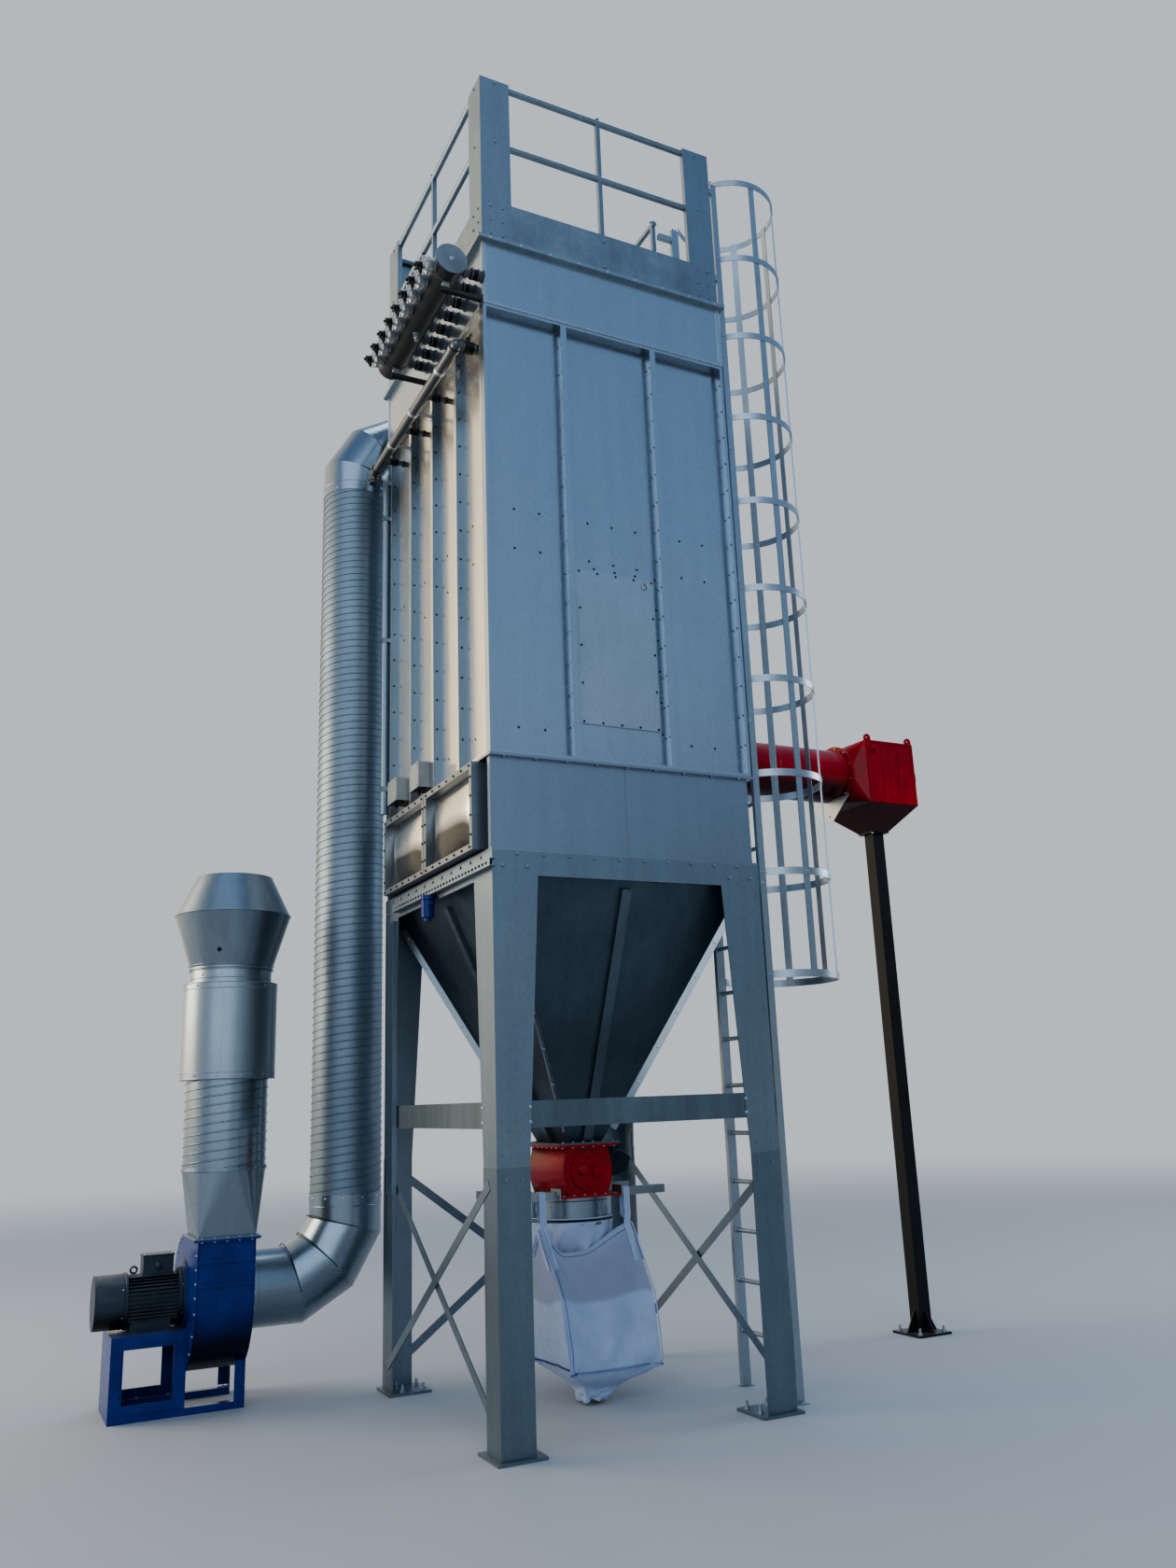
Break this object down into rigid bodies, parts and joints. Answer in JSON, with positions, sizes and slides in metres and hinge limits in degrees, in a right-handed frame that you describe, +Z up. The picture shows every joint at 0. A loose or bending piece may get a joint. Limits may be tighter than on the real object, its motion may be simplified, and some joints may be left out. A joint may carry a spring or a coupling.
{
  "type": "reverse jet bag filter",
  "caption": "Free standing dust filter with panelled casing, hopper, rotary valve, bulk bag, roof platform, caged ladder, clean air fan with stack and a flap valve inlet.",
  "frame": {"origin": "centre of the plan box at floor level", "axes": "+X to the right along the front, +Y to the rear, +Z up"},
  "size_m": [5.601, 2.649, 7.955],
  "materials": {
    "galv_sheet": "hot dip galvanised sheet, satin",
    "galv_section": "galvanised folded sections, satin",
    "duct_steel": "bright galvanised duct sheet",
    "red_paint": "gloss red enamel",
    "blue_paint": "gloss blue enamel",
    "black_paint": "satin black paint",
    "motor_grey": "grey blue machine paint",
    "header_paint": "dark grey paint",
    "valve_black": "black plastic and cast alloy",
    "pipe_zinc": "zinc plated pipe",
    "grey_plastic": "light grey moulded plastic",
    "woven_bag": "white woven polypropylene",
    "vent_foil": "bright thin metal membrane"
  },
  "bodies": {
    "root": {"foot_plates": "galv_section", "legs": "galv_section", "ring_beam": "galv_section", "cross_beams": "galv_section", "braces": "galv_section", "hopper": "galv_sheet", "hopper_flanges": "galv_section", "hopper_ribs": "galv_section", "rotary_valve": "red_paint", "valve_drive": "motor_grey", "chute": "duct_steel", "bag_arms": "galv_section", "bulk_bag": "woven_bag", "lower_band": "galv_sheet", "bag_chamber": "galv_sheet", "front_pans": "galv_sheet", "left_pans": "galv_sheet", "right_pans": "galv_sheet", "rear_pans": "galv_sheet", "plenum": "galv_sheet", "roof_plate": "galv_sheet", "roof_lids": "galv_sheet", "access_door": "galv_sheet", "vent_frames": "galv_sheet", "vent_domes": "vent_foil", "cable_tray": "galv_section", "leg_tray": "galv_section", "level_sensor": "blue_paint", "corner_conduit": "galv_section", "corner_posts": "galv_section", "rail_posts": "galv_section", "toe_plates": "galv_section", "guard_rails": "galv_section", "ladder_stiles": "galv_section", "ladder_rungs": "galv_section", "cage_hoops": "galv_section", "cage_strips": "galv_section", "air_header": "header_paint", "header_brackets": "galv_section", "pulse_valves": "valve_black", "blow_pipes": "pipe_zinc", "supply_pipe": "pipe_zinc", "junction_boxes": "grey_plastic", "outlet_box": "galv_sheet", "riser_duct": "duct_steel", "riser_elbows": "duct_steel", "fan_casing": "blue_paint", "fan_base": "blue_paint", "fan_motor": "motor_grey", "stack_transition": "duct_steel", "stack_duct": "duct_steel", "silencer": "duct_steel", "jet_cowl": "duct_steel", "inlet_pipe": "red_paint", "inlet_saddle": "galv_section", "flap_valve": "red_paint", "inlet_prop": "black_paint"}
  },
  "joints": []
}
